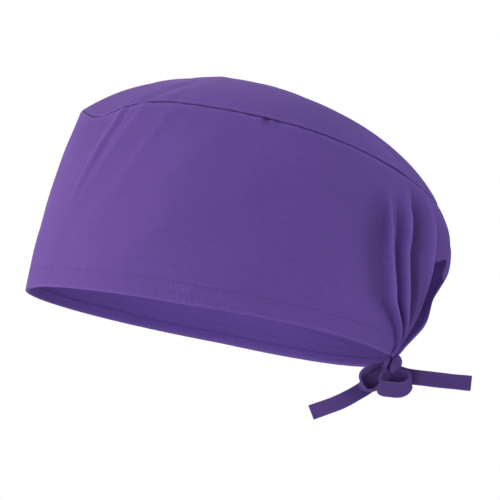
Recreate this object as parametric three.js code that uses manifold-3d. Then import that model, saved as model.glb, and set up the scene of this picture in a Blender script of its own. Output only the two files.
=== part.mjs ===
import * as THREE from 'three';
import Module from 'manifold-3d';
import { mergeVertices } from 'three/addons/utils/BufferGeometryUtils.js';

// A cloth work cap that ties at the nape, in the form that it has on a head. Sizes are in millimetres.
// The rim is level at z = 0, the forehead is at -y, the nape at +y and the wearer's left at +x.
// Angles run round the head in degrees from the centre of the nape, positive on the wearer's left.
const rim = { halfWidth: 77, front: 105, back: 106, sideLift: 1.2, napeLift: 2.5, napeSpread: 9 };
const seam = { halfWidth: 73, front: 95.6, back: 119.5, roundness: 0.9, height: 103.9 };
const seamRise = { front: 8, side: 5.7, shoulder: 1 };
const seamDip = { depth: 8.9, angle: 144.5, spread: 16 };
// How far the side swells out, and how quickly it does so above the rim and stops below the seam.
const bulge = { side: 11, front: 3.2, back: 13.6 };
const bulgeRise = { front: 6, back: 2.6 };
const bulgeFade = { front: 3.2, back: 6 };
const crown = { top: 142, centreY: -6, slope: 0.81, frontSlope: 0.84, foldStart: 0.12 };
const wall = { cloth: 1.6, hem: 2.4, hemHeight: 10.5, groove: 0.5, grooveWidth: 2.6 };
const gap = 0.35;

// The hem is drawn in round the nape. Cloth nearer than `to` is gathered, and beyond `free` it lies plain.
const gather = { closed: 0.16, height: 46, to: 42, free: 100 };
// The two cloth edges meet below the window, and above it they are joined.
const nape = { edge: 13.6, slit: 0.3, windowLow: 40, windowHigh: 64 };

// The gathers, a row each. `at` and `width` are degrees of cloth, `height` is how far the fold stands out, and
// it fades away by the heights `low` and `high`.
const gatherFolds = [
  { name: 'edge ridge left', at: 20, width: 3.2, height: 2.8, low: -20, high: 100 },
  { name: 'deep valley left', at: 28, width: 3.2, height: -4.2, low: -12, high: 96 },
  { name: 'middle ridge left', at: 33.5, width: 2.4, height: 2.4, low: -16, high: 84 },
  { name: 'narrow valley left', at: 37.5, width: 2.0, height: -2.0, low: -14, high: 78 },
  { name: 'outer ridge left', at: 41, width: 2.6, height: 1.8, low: -16, high: 78 },
  { name: 'broad valley left', at: 48, width: 5, height: -2.2, low: -8, high: 84 },
  { name: 'edge ridge right', at: -18, width: 5, height: 3.4, low: 12, high: 98 },
  { name: 'deep valley right', at: -28, width: 3.4, height: -3.8, low: -12, high: 90 },
  { name: 'middle ridge right', at: -34.5, width: 3, height: 2.2, low: -16, high: 80 },
  { name: 'outer valley right', at: -42, width: 4, height: -2.2, low: -12, high: 80 },
  { name: 'low lobe right', at: -20, width: 9, height: 6, low: -10, high: 36 },
];
// Soft vertical folds of the side, over the temple, from the seam downwards.
const sideFolds = [
  { name: 'brow fold left', at: 147, width: 5, height: 1.6, low: 50, high: 112 },
  { name: 'brow hollow left', at: 136, width: 6, height: -1.4, low: 55, high: 114 },
  { name: 'brow fold right', at: -149, width: 5, height: 1.4, low: 50, high: 112 },
  { name: 'brow hollow right', at: -138, width: 6, height: -1.2, low: 55, high: 114 },
];
// A fold fades over this height, and in the hem it keeps only a share of its depth.
const foldFade = 28;
const hemFold = { share: 0.45, height: 30 };
// Shallow folds of the crown, which run from the seam towards its middle: `reach` is how far in they end.
const crownFolds = [
  { name: 'front fold left', at: 150, width: 7, height: 1.5, reach: 0.6 },
  { name: 'front hollow left', at: 134, width: 7, height: -1.4, reach: 0.55 },
  { name: 'front fold right', at: -150, width: 8, height: 1.3, reach: 0.6 },
  { name: 'back fold left', at: 40, width: 10, height: 1.0, reach: 0.4 },
  { name: 'back fold right', at: -42, width: 10, height: 1.0, reach: 0.4 },
];

// The tape of the ties and their knot.
const tape = { width: 8.6, thickness: 1.5, corner: 0.4, loopSteps: 18, tailSteps: 10 };
const knot = {
  x: 2.5, y: 107.6, z: -2.4,
  radiusX: 5.2, radiusY: 4.8, radiusZ: 4.4,
  waist: 0.12, waistWidth: 0.3,
};

// The grid of the cloth: columns on each half of the cap, rows from rim to seam, rings from seam to middle.
const columnPlan = { bridge: 3, gathered: 22, plain: 18, gatheredTo: 58 };
const bandRows = [0, 0.045, 0.09, 0.12, 0.17, 0.23, 0.3, 0.37, 0.45, 0.54, 0.63, 0.72, 0.8, 0.88, 0.95, 1];
const windowShare = 0.72;
const windowRow = bandRows.indexOf(windowShare);
const crownRings = 9;
// Shares of the way from rim or middle to seam: a step for measuring slopes, and a place close to the seam.
const smallStep = 0.01;
const nearSeam = 0.97;

const radians = THREE.MathUtils.degToRad;
const lerp = THREE.MathUtils.lerp;
const smooth = (x) => THREE.MathUtils.smoothstep(x, 0, 1);
const bell = (x) => Math.exp(-x * x);
const roundPower = (x, power) => Math.sign(x) * Math.abs(x) ** power;

// The bottom edge of the cap.
function rimPoint(angle) {
  const side = Math.sin(radians(angle));
  const back = Math.cos(radians(angle));
  const lift = rim.sideLift * side * side + rim.napeLift * bell(angle / rim.napeSpread);
  return new THREE.Vector3(rim.halfWidth * side, (back > 0 ? rim.back : rim.front) * back, lift);
}

// The seam between side and crown: high at the temples, low at the nape, with a dip beside the forehead.
function seamPoint(angle) {
  const side = roundPower(Math.sin(radians(angle)), seam.roundness);
  const back = roundPower(Math.cos(radians(angle)), seam.roundness);
  const middle = (seam.back - seam.front) / 2;
  const halfLength = (seam.back + seam.front) / 2;
  const waves = [-seamRise.front, -seamRise.side, -seamRise.shoulder];
  const rise = waves.reduce((sum, height, i) => sum + height * Math.cos(radians((i + 1) * angle)), 0);
  const dip = seamDip.depth * bell((Math.abs(angle) - seamDip.angle) / seamDip.spread);
  return new THREE.Vector3(seam.halfWidth * side, middle + halfLength * back, seam.height + rise - dip);
}

// The side of the cap without folds: it swells out between rim and seam. `t` is 0 at the rim, 1 at the seam.
function plainSide(angle, t) {
  const side = Math.sin(radians(angle));
  const back = Math.cos(radians(angle));
  const swell = bulge.side * side * side + (back > 0 ? bulge.back : bulge.front) * back * back;
  const nearNape = Math.max(back, 0) ** 2;
  const rise = 1 - (1 - t) ** lerp(bulgeRise.front, bulgeRise.back, nearNape);
  const shape = rise * (1 - t ** lerp(bulgeFade.front, bulgeFade.back, nearNape));
  const outward = new THREE.Vector3(side, back, 0).multiplyScalar(swell * shape);
  return rimPoint(angle).lerp(seamPoint(angle), t).add(outward);
}

// The crown without folds. `r` is 0 at its middle, 1 at the seam.
function plainCrown(angle, r) {
  const edge = seamPoint(angle);
  const back = Math.cos(radians(angle));
  const power = lerp(crown.slope, crown.frontSlope, Math.max(-back, 0));
  const height = edge.z + (crown.top - edge.z) * (1 - r * r) ** power;
  return new THREE.Vector3(edge.x * r, lerp(crown.centreY, edge.y, r), height);
}

// The way that a surface faces, from two short steps on it: one round the head and one upwards.
function facing(surface, angle, along, step) {
  const here = surface(angle, along);
  const round = surface(angle - 1, along).sub(here);
  const up = surface(angle, along + step).sub(here);
  return round.cross(up).normalize();
}

function sideFacing(angle, t) {
  return facing(plainSide, angle, Math.min(t, 1 - smallStep), smallStep);
}

function crownFacing(angle, r) {
  return facing(plainCrown, angle, Math.max(r, 5 * smallStep), -smallStep);
}

// Both pieces share this direction at the seam, so their edges lie side by side.
function seamFacing(angle) {
  return sideFacing(angle, nearSeam).add(crownFacing(angle, nearSeam)).normalize();
}

// Where a cloth thread at `cloth` degrees from the nape lies at the height z, drawn in towards the knot.
function drawnIn(cloth, z) {
  const away = Math.abs(cloth);
  const open = smooth((z - nape.windowLow) / (nape.windowHigh - nape.windowLow));
  const edge = lerp(nape.slit, nape.edge, z < nape.windowLow ? 0 : open);
  const closed = lerp(gather.closed, 1, smooth(z / gather.height));
  let angle = lerp(closed * gather.to, gather.free, (away - gather.to) / (gather.free - gather.to));
  if (away < nape.edge) {
    angle = away * edge / nape.edge;
  } else if (away < gather.to) {
    angle = lerp(edge, closed * gather.to, (away - nape.edge) / (gather.to - nape.edge));
  } else if (away > gather.free) {
    angle = away;
  }
  return Math.sign(cloth) * angle;
}

// How far the folds of the side stand out at one place of the cloth. They are shallow in the hem.
function sideFold(cloth, z) {
  let out = 0;
  for (const fold of [...gatherFolds, ...sideFolds]) {
    const fade = smooth((z - fold.low) / foldFade) * smooth((fold.high - z) / foldFade);
    out += fold.height * fade * bell((cloth - fold.at) / fold.width);
  }
  return out * lerp(hemFold.share, 1, smooth(z / hemFold.height));
}

function crownFold(angle, r) {
  let out = 0;
  for (const fold of crownFolds) {
    const fade = smooth((1 - r) / crown.foldStart) * smooth((r - 1 + fold.reach) / fold.reach);
    out += fold.height * fade * bell((angle - fold.at) / fold.width);
  }
  return out;
}

// The columns of cloth round the head, close together in the gathers, from the nape round and back to it.
function clothColumns() {
  const half = [];
  for (let i = 1; i <= columnPlan.bridge; i += 1) {
    half.push(nape.edge * i / columnPlan.bridge);
  }
  for (let i = 1; i <= columnPlan.gathered; i += 1) {
    half.push(lerp(nape.edge, columnPlan.gatheredTo, i / columnPlan.gathered));
  }
  for (let i = 1; i < columnPlan.plain; i += 1) {
    half.push(lerp(columnPlan.gatheredTo, 180, i / columnPlan.plain));
  }
  const right = half.map((angle) => -angle).reverse();
  return [0, ...half, 180, ...right];
}

const columns = clothColumns();

// A closed wall of cloth from its outer and inner grids of points. `grid[row][column]` goes round the head,
// and a last row of one point is a pole. `has` says which cells of the grid are cloth.
function clothWall(outer, inner, has) {
  const positions = [];
  const triangles = [];
  const number = (grid) => grid.map((row) => row.map((point) => positions.push(...point) / 3 - 1));
  const out = number(outer);
  const into = number(inner);
  const rows = outer.length - 1;
  const count = outer[0].length;
  const at = (grid, row, column) => grid[row][grid[row].length === 1 ? 0 : (column + count) % count];
  const present = (row, column) => row >= 0 && row < rows && has(row, (column + count) % count);
  const quad = (a, b, c, d) => {
    for (const corners of [[a, b, c], [a, c, d]]) {
      if (new Set(corners).size === 3) {
        triangles.push(...corners);
      }
    }
  };
  for (let row = 0; row < rows; row += 1) {
    for (let column = 0; column < count; column += 1) {
      if (!present(row, column)) {
        continue;
      }
      const corners = [[row, column], [row, column + 1], [row + 1, column + 1], [row + 1, column]];
      const [a, b, c, d] = corners.map(([r, k]) => at(out, r, k));
      const [e, f, g, h] = corners.map(([r, k]) => at(into, r, k));
      quad(d, c, b, a);
      quad(e, f, g, h);
      if (!present(row - 1, column)) {
        quad(a, b, f, e);
      }
      if (!present(row + 1, column) && c !== d) {
        quad(c, d, h, g);
      }
      if (!present(row, column - 1)) {
        quad(d, a, e, h);
      }
      if (!present(row, column + 1)) {
        quad(b, c, g, f);
      }
    }
  }
  const geometry = new THREE.BufferGeometry();
  geometry.setAttribute('position', new THREE.Float32BufferAttribute(positions, 3));
  geometry.setIndex(triangles);
  geometry.computeVertexNormals();
  return geometry;
}

// The side with its hem, gathers and the slit and window at the nape.
function sideBandGeometry() {
  const outer = [];
  const inner = [];
  bandRows.forEach((t) => {
    const outerRow = [];
    const innerRow = [];
    for (const cloth of columns) {
      const z = seamPoint(cloth).z * t;
      const angle = drawnIn(cloth, z);
      const isSeam = t === 1;
      const normal = isSeam ? seamFacing(angle) : sideFacing(angle, t);
      const isHem = z < wall.hemHeight;
      const groove = !isHem && z < wall.hemHeight + wall.grooveWidth ? wall.groove : 0;
      const point = plainSide(angle, t).addScaledVector(normal, isSeam ? 0 : sideFold(cloth, z) - groove);
      outerRow.push(point);
      innerRow.push(point.clone().addScaledVector(normal, -(isHem ? wall.hem : wall.cloth - groove)));
    }
    outer.push(outerRow);
    inner.push(innerRow);
  });
  const isBridge = (column) => column < columnPlan.bridge || column >= columns.length - columnPlan.bridge;
  return clothWall(outer, inner, (row, column) => row >= windowRow || !isBridge(column));
}

// The crown panel, from its edge on the seam to the pole in its middle.
function crownGeometry() {
  const outer = [];
  const inner = [];
  for (let ring = 0; ring < crownRings; ring += 1) {
    const r = Math.cos(Math.PI / 2 * ring / crownRings);
    const outerRow = [];
    const innerRow = [];
    for (const angle of columns) {
      const normal = ring === 0 ? seamFacing(angle) : crownFacing(angle, r);
      const point = plainCrown(angle, r).addScaledVector(normal, crownFold(angle, r));
      if (ring === 0) {
        const upward = plainCrown(angle, nearSeam).sub(plainSide(angle, nearSeam)).normalize();
        point.addScaledVector(upward, gap);
      }
      outerRow.push(point);
      innerRow.push(point.clone().addScaledVector(normal, -wall.cloth));
    }
    outer.push(outerRow);
    inner.push(innerRow);
  }
  outer.push([new THREE.Vector3(0, crown.centreY, crown.top)]);
  inner.push([new THREE.Vector3(0, crown.centreY, crown.top - wall.cloth)]);
  return clothWall(outer, inner, () => true);
}

// A flat tape along a route, with its flat side facing the way that each point gives.
function tapeGeometry(route, steps) {
  const path = new THREE.CatmullRomCurve3(route.map((point) => new THREE.Vector3(point.x, point.y, point.z)));
  const faces = new THREE.CatmullRomCurve3(route.map((point) => new THREE.Vector3(...point.face)));
  const w = tape.width / 2;
  const t = tape.thickness / 2;
  const c = tape.corner;
  const section = [
    [w - c, -t], [w, -t + c], [w, t - c], [w - c, t],
    [c - w, t], [-w, t - c], [-w, -t + c], [c - w, -t],
  ];
  const positions = [];
  const triangles = [];
  for (let i = 0; i <= steps; i += 1) {
    const centre = path.getPoint(i / steps);
    const tangent = path.getTangent(i / steps);
    const across = new THREE.Vector3().crossVectors(faces.getPoint(i / steps), tangent).normalize();
    const face = new THREE.Vector3().crossVectors(tangent, across);
    for (const [along, out] of section) {
      positions.push(...centre.clone().addScaledVector(across, along).addScaledVector(face, out));
    }
  }
  const n = section.length;
  for (let i = 0; i < steps; i += 1) {
    for (let k = 0; k < n; k += 1) {
      const next = (k + 1) % n;
      triangles.push(i * n + k, i * n + next, (i + 1) * n + next);
      triangles.push(i * n + k, (i + 1) * n + next, (i + 1) * n + k);
    }
  }
  for (let k = 1; k < n - 1; k += 1) {
    triangles.push(0, k + 1, k);
    triangles.push(steps * n, steps * n + k, steps * n + k + 1);
  }
  const geometry = new THREE.BufferGeometry();
  geometry.setAttribute('position', new THREE.Float32BufferAttribute(positions, 3));
  geometry.setIndex(triangles);
  geometry.computeVertexNormals();
  return geometry;
}

// The knot: a small lump with a waist where the tape is pulled round it, larger by `extra` all over.
function knotGeometry(extra) {
  const geometry = new THREE.SphereGeometry(1, 20, 14);
  const place = geometry.getAttribute('position');
  const radii = [knot.radiusX + extra, knot.radiusY + extra, knot.radiusZ + extra];
  for (let i = 0; i < place.count; i += 1) {
    const pull = 1 - knot.waist * bell(place.getY(i) / knot.waistWidth);
    const [x, y, z] = [place.getX(i) * pull, place.getY(i), place.getZ(i) * pull];
    place.setXYZ(i, knot.x + x * radii[0], knot.y + y * radii[1], knot.z + z * radii[2]);
  }
  geometry.deleteAttribute('normal');
  geometry.deleteAttribute('uv');
  return mergeVertices(geometry);
}

const wasm = await Module();
wasm.setup();

function toSolid(geometry) {
  const vertProperties = new Float32Array(geometry.getAttribute('position').array);
  const triVerts = new Uint32Array(geometry.getIndex().array);
  return new wasm.Manifold(new wasm.Mesh({ numProp: 3, vertProperties, triVerts }));
}

function toGeometry(solid) {
  const mesh = solid.getMesh();
  const geometry = new THREE.BufferGeometry();
  geometry.setAttribute('position', new THREE.Float32BufferAttribute(mesh.vertProperties, 3));
  geometry.setIndex([...mesh.triVerts]);
  geometry.computeVertexNormals();
  return geometry;
}

// A tie ends a small gap off the knot that holds it.
function seatedTape(route, steps) {
  return toGeometry(toSolid(tapeGeometry(route, steps)).subtract(toSolid(knotGeometry(gap))));
}

// The routes of the two loops and the two free ends, from the knot outwards. `face` is the way that the flat
// side of the tape looks there.
const leftLoopRoute = [
  { x: 7.0, y: 105.0, z: -1.6, face: [1, 0.1, 0.2] },
  { x: 9.4, y: 100.4, z: -4.4, face: [1, -0.1, 0.2] },
  { x: 9.4, y: 95.0, z: -10.0, face: [0.8, -0.5, -0.3] },
  { x: 6.4, y: 93.0, z: -12.6, face: [0, -0.8, -0.6] },
  { x: 3.6, y: 94.8, z: -10.6, face: [-0.9, -0.3, -0.3] },
  { x: 2.4, y: 99.4, z: -6.4, face: [-1, 0, 0] },
  { x: 2.6, y: 103.6, z: -3.4, face: [-1, 0, 0] },
];
const rightLoopRoute = [
  { x: 6.6, y: 108.6, z: -6.2, face: [1, -0.2, -0.3] },
  { x: 10.4, y: 107.2, z: -13.4, face: [1, -0.2, 0.1] },
  { x: 11.4, y: 112.6, z: -15.8, face: [1, 0.1, 0] },
  { x: 9.4, y: 117.8, z: -12.6, face: [0.7, 0.7, 0] },
  { x: 5.4, y: 118.4, z: -9.0, face: [-0.5, 0.9, 0] },
  { x: 2.6, y: 115.4, z: -6.6, face: [-1, 0.4, 0] },
  { x: 2.4, y: 111.4, z: -4.8, face: [-1, 0, 0] },
];
const leftTailRoute = [
  { x: -0.6, y: 105.2, z: -6.4, face: [1, 0, 0] },
  { x: -1.4, y: 98.6, z: -15.2, face: [1, 0, 0] },
  { x: -1.0, y: 89.8, z: -22.8, face: [1, 0, 0.1] },
  { x: 0.4, y: 80.0, z: -30.6, face: [1, 0, 0.1] },
  { x: 2.4, y: 68.4, z: -38.2, face: [1, 0, 0.1] },
];
const rightTailRoute = [
  { x: -0.6, y: 110.8, z: -3.6, face: [1, 0, 0] },
  { x: -1.6, y: 119.0, z: -5.8, face: [1, 0, 0] },
  { x: -1.2, y: 130.0, z: -5.8, face: [1, 0, 0] },
  { x: -0.4, y: 142.0, z: -4.8, face: [1, 0, 0.1] },
  { x: 0.6, y: 153.4, z: -3.8, face: [1, 0, 0.1] },
];

function clothMaterial(colour) {
  return new THREE.MeshStandardMaterial({ color: colour, roughness: 0.9, metalness: 0 });
}

function piece(name, geometry, colour) {
  const mesh = new THREE.Mesh(geometry, clothMaterial(colour));
  mesh.name = name;
  return mesh;
}

const cap = new THREE.Group();
cap.add(piece('side_band', sideBandGeometry(), 0x5d438f));
cap.add(piece('crown_panel', crownGeometry(), 0x644c96));
cap.add(piece('tie_knot', knotGeometry(0), 0x563e85));
cap.add(piece('tie_loop_left', seatedTape(leftLoopRoute, tape.loopSteps), 0x4b3577));
cap.add(piece('tie_loop_right', seatedTape(rightLoopRoute, tape.loopSteps), 0x4b3577));
cap.add(piece('tie_tail_left', seatedTape(leftTailRoute, tape.tailSteps), 0x4b3577));
cap.add(piece('tie_tail_right', seatedTape(rightTailRoute, tape.tailSteps), 0x4b3577));

export default cap;
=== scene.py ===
# %% [markdown]
# # A tie-back work cap
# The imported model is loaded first, as a fixed frame. Its solids give the size and the place of each piece,
# and every piece below is finished cloth that stands for one of them.

# %% Load the frame
import math

import bpy
import numpy as np
from mathutils import Matrix, Vector


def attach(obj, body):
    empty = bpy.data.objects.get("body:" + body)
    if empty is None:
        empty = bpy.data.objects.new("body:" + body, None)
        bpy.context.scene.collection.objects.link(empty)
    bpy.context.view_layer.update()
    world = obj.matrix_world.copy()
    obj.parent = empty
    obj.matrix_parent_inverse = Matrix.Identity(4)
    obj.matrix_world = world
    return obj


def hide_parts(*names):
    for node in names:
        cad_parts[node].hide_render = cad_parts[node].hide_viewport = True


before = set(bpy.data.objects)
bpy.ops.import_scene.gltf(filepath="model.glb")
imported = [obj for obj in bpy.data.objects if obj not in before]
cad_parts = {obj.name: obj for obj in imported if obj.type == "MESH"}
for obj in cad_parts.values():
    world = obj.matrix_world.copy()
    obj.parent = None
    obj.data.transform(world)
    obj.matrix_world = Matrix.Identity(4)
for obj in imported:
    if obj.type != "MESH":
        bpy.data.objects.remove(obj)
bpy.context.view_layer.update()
mm = 0.001

# %% [markdown]
# ## Camera
# The cap is seen from its left side and a little from below, with its nape end hanging lower in the picture.
# The camera looks from 1.5 m away through a long lens. It could be placed by eye, but the places of the rim,
# the seam and the knot in the picture gave these angles, so they are named values.

# %% Camera
LOOK_FROM = dict(azimuth=98.0, elevation=-8.74, roll=11.47, distance=1.5)
CAP_CENTRE = Vector((0, 0, 60 * mm))
CENTRE_PIXEL = (227.3, 223.5)
PICTURE = 500
PIXELS_PER_METRE = 1757.0
SENSOR = 36.0


def look_axes():
    """Right, up and backward of the camera, in the frame's axes."""
    azimuth, elevation = math.radians(LOOK_FROM["azimuth"]), math.radians(LOOK_FROM["elevation"])
    back = Vector((math.sin(azimuth) * math.cos(elevation), -math.cos(azimuth) * math.cos(elevation),
                   math.sin(elevation)))
    right = Vector((math.cos(azimuth), math.sin(azimuth), 0))
    up = back.cross(right)
    roll = math.radians(LOOK_FROM["roll"])
    return right * math.cos(roll) + up * math.sin(roll), up * math.cos(roll) - right * math.sin(roll), back


def add_camera():
    right, up, back = look_axes()
    place = CAP_CENTRE + back * LOOK_FROM["distance"]
    off_right = (PICTURE / 2 - CENTRE_PIXEL[0]) / PIXELS_PER_METRE
    off_down = (PICTURE / 2 - CENTRE_PIXEL[1]) / PIXELS_PER_METRE
    aim = CAP_CENTRE + right * off_right - up * off_down
    back = (place - aim).normalized()
    right = up.cross(back).normalized()
    up = back.cross(right)
    data = bpy.data.cameras.new("camera")
    data.sensor_width = SENSOR
    data.lens = PIXELS_PER_METRE * LOOK_FROM["distance"] / PICTURE * SENSOR
    data.clip_start = 0.01
    camera = bpy.data.objects.new("camera", data)
    camera.matrix_world = Matrix((
        (right.x, up.x, back.x, place.x), (right.y, up.y, back.y, place.y),
        (right.z, up.z, back.z, place.z), (0, 0, 0, 1)))
    bpy.context.scene.collection.objects.link(camera)
    bpy.context.scene.camera = camera
    return camera


camera = add_camera()
print("camera lens", round(camera.data.lens, 1), "mm")

# %% [markdown]
# ## Light and background
# The picture is a cut-out on white with very soft light, brightest on the forehead. A white sky gives the
# even part. A big soft lamp in front gives the forehead its glow, others fill the sides, the top and the
# nape, and a very small one lights the inside. The floor lies far below, so that views from underneath stay
# clear. The camera sees sky and floor as plain white, and they give the cap less light than that.

# %% Light and background
SKY_SEEN = 1.0
SKY_LIGHT = 0.16
WHITE = (1, 1, 1)
WARM = (1, 0.93, 0.86)
FLOOR = dict(size=60, height=-1.25, colour=(0.86, 0.86, 0.87, 1), roughness=0.7)
LAMPS = [
    dict(name="forehead lamp", place=(0.35, -1.5, 0.15), size=0.8, power=18, colour=WARM),
    dict(name="low side lamp", place=(1.1, -0.2, -0.6), size=0.9, power=5.2, colour=WHITE),
    dict(name="inside lamp", place=(0.040, 0.030, 0.085), size=0.05, power=0.09, colour=WHITE),
    dict(name="top lamp", place=(0.0, -0.1, 1.5), size=0.9, power=7.5, colour=WHITE),
    dict(name="nape lamp", place=(0.7, 1.3, 0.5), size=0.9, power=8.5, colour=WHITE),
    dict(name="far side lamp", place=(-1.3, -0.2, 0.2), size=0.9, power=7, colour=WHITE),
]


def add_node(tree, kind, inputs=(), **settings):
    """Adds a node, makes its settings, and gives each named input a value or a link."""
    node = tree.nodes.new("ShaderNode" + kind)
    for key, value in settings.items():
        setattr(node, key, value)
    for key, value in dict(inputs).items():
        if isinstance(value, bpy.types.NodeSocket):
            tree.links.new(value, node.inputs[key])
        else:
            node.inputs[key].default_value = value
    return node


def new_material(name):
    """A material with its tree of nodes and its shader."""
    material = bpy.data.materials.new(name)
    material.use_nodes = True
    return material, material.node_tree, material.node_tree.nodes["Principled BSDF"]


def shown_to_camera(tree, real, shown):
    """The camera sees the one look, and the cap is lit by the other."""
    rays = add_node(tree, "LightPath")
    mix = add_node(tree, "MixShader", {"Fac": rays.outputs["Is Camera Ray"], 1: real, 2: shown})
    return mix.outputs["Shader"]


def add_sky():
    """A white sky that looks brighter to the camera than the light that it gives."""
    world = bpy.data.worlds.new("sky")
    world.use_nodes = True
    tree = world.node_tree
    tree.nodes.clear()
    light, seen = (
        add_node(tree, "Background", {"Color": (*WHITE, 1), "Strength": strength}).outputs["Background"]
        for strength in (SKY_LIGHT, SKY_SEEN))
    add_node(tree, "OutputWorld", {"Surface": shown_to_camera(tree, light, seen)})
    bpy.context.scene.world = world


def add_lamp(name, place, size, power, colour):
    """A round soft lamp that looks at the middle of the cap."""
    data = bpy.data.lights.new(name, "AREA")
    data.shape = "DISK"
    data.size = size
    data.energy = power
    data.color = colour
    lamp = bpy.data.objects.new(name, data)
    lamp.location = place
    lamp.rotation_euler = (Vector(place) - CAP_CENTRE).to_track_quat("Z", "Y").to_euler()
    bpy.context.scene.collection.objects.link(lamp)


def add_floor():
    """A wide pale floor far below the cap, which the camera sees as bright as the sky."""
    bpy.ops.object.select_all(action="DESELECT")
    bpy.ops.mesh.primitive_plane_add(size=FLOOR["size"], location=(0, 0, FLOOR["height"]))
    floor = bpy.context.object
    floor.name = "floor"
    pale, tree, shader = new_material("pale floor")
    shader.inputs["Base Color"].default_value = FLOOR["colour"]
    shader.inputs["Roughness"].default_value = FLOOR["roughness"]
    bright = add_node(tree, "Emission", {"Color": (*WHITE, 1)})
    look = shown_to_camera(tree, shader.outputs["BSDF"], bright.outputs["Emission"])
    tree.links.new(look, tree.nodes["Material Output"].inputs["Surface"])
    floor.data.materials.append(pale)


add_sky()
for lamp in LAMPS:
    add_lamp(**lamp)
add_floor()
bpy.context.scene.view_settings.view_transform = "Standard"
print("light:", len(LAMPS), "lamps and a white sky")

# %% [markdown]
# ## The form of the cap
# A cap like this is two pieces of cloth: a strip round the head and an oval on top. Both hang from the same
# three curves, so those come first: the rim round the head, the seam higher up, and the swell between them.
# Angles are in degrees from the centre of the nape, positive on the wearer's left. Sizes are in millimetres.

# %% Curves of the cap
RIM = dict(half_width=78.0, front=105.2, back=107.0)
RIM_LIFT = dict(side=0.4, nape=1.9, nape_spread=9.0, tilt=3.6)
SEAM = dict(half_width=73.6, front=94.7, back=116.3, roundness=0.9, height=104.2)
SEAM_RISE = dict(front=7.7, side=5.7, shoulder=1.0)
SEAM_DIP = dict(depth=8.9, angle=144.5, spread=16.0)
SEAM_BROW = dict(depth=1.7, spread=14.0)
BULGE = dict(side=11.3, front=2.4, back=15.8)
BULGE_RISE = dict(front=6.0, back=2.6)
BULGE_FADE = dict(front=3.2, back=6.0)
CROWN = dict(top=141.2, centre_y=-8.0, slope=0.775, front_slope=0.91)
# Steps round the head (degrees) and upwards (share) that a facing is measured over, and the shares of the
# side, the crown and both beside the seam that it isn't measured past
FACING = dict(turn=0.5, share=0.01, side_most=0.99, crown_least=0.05, by_seam=0.97)


def lerp(a, b, t):
    """The value a share t of the way from a to b."""
    return a + (b - a) * t


def smooth(x):
    """Rises softly from 0 to 1 while x does."""
    x = np.clip(x, 0, 1)
    return x * x * (3 - 2 * x)


def bell(x):
    """1 at zero and soon nothing on both sides."""
    return np.exp(-x * x)


def sine(angle):
    return np.sin(np.radians(angle))


def cosine(angle):
    return np.cos(np.radians(angle))


def round_power(x, power):
    """A power that keeps the sign, to make an ellipse squarer."""
    return np.sign(x) * np.abs(x) ** power


def rim_at(angle):
    """Points of the bottom edge."""
    side, back = sine(angle), cosine(angle)
    half_length = np.where(back > 0, RIM["back"], RIM["front"])
    lift = RIM_LIFT["side"] * side ** 2 + RIM_LIFT["nape"] * bell(angle / RIM_LIFT["nape_spread"])
    lift = lift + RIM_LIFT["tilt"] * side * np.maximum(back, 0)
    return np.stack([RIM["half_width"] * side, half_length * back, lift], -1)


def seam_at(angle):
    """Points of the seam: high at the temples, low at the nape, with dips beside and over the forehead."""
    side = round_power(sine(angle), SEAM["roundness"])
    back = round_power(cosine(angle), SEAM["roundness"])
    middle = (SEAM["back"] - SEAM["front"]) / 2
    half_length = (SEAM["back"] + SEAM["front"]) / 2
    rise = sum(-height * cosine((i + 1) * angle) for i, height in enumerate(SEAM_RISE.values()))
    dip = SEAM_DIP["depth"] * bell((np.abs(angle) - SEAM_DIP["angle"]) / SEAM_DIP["spread"])
    dip = dip + SEAM_BROW["depth"] * bell((180 - np.abs(angle)) / SEAM_BROW["spread"])
    height = SEAM["height"] + rise - dip
    return np.stack([SEAM["half_width"] * side, middle + half_length * back, height], -1)


def side_at(angle, t):
    """The side without folds. t is 0 at the rim and 1 at the seam."""
    side, back = sine(angle), cosine(angle)
    swell = BULGE["side"] * side ** 2 + np.where(back > 0, BULGE["back"], BULGE["front"]) * back ** 2
    nape = np.maximum(back, 0) ** 2
    rise = 1 - (1 - t) ** lerp(BULGE_RISE["front"], BULGE_RISE["back"], nape)
    shape = rise * (1 - t ** lerp(BULGE_FADE["front"], BULGE_FADE["back"], nape))
    low, high = rim_at(angle), seam_at(angle)
    outward = np.stack([side, back, 0 * side], -1) * (swell * shape)[..., None]
    return low + (high - low) * t[..., None] + outward


def crown_at(angle, r):
    """The crown without folds. r is 0 in its middle and 1 at the seam."""
    edge = seam_at(angle)
    power = lerp(CROWN["slope"], CROWN["front_slope"], np.maximum(-cosine(angle), 0))
    height = edge[..., 2] + (CROWN["top"] - edge[..., 2]) * np.maximum(1 - r * r, 0) ** power
    return np.stack([edge[..., 0] * r, lerp(CROWN["centre_y"], edge[..., 1], r), height], -1)


def unit(v):
    """The same directions at length 1."""
    return v / np.linalg.norm(v, axis=-1, keepdims=True)


def facing(surface, angle, along, step):
    """The way that a surface faces, from a short step round the head and a short step upwards."""
    here = surface(angle, along)
    beside = surface(angle - FACING["turn"], along)
    above = surface(angle, along + step)
    return unit(np.cross(beside - here, above - here))


def side_facing(angle, t):
    return facing(side_at, angle, np.minimum(t, FACING["side_most"]), FACING["share"])


def crown_facing(angle, r):
    return facing(crown_at, angle, np.maximum(r, FACING["crown_least"]), -FACING["share"])


def seam_facing(angle):
    """Half-way between the ways that side and crown face beside the seam."""
    near = np.full_like(angle, FACING["by_seam"])
    return unit(side_facing(angle, near) + crown_facing(angle, near))


print("cap height", CROWN["top"], "mm, rim", 2 * RIM["half_width"], "by", RIM["front"] + RIM["back"], "mm")

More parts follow.
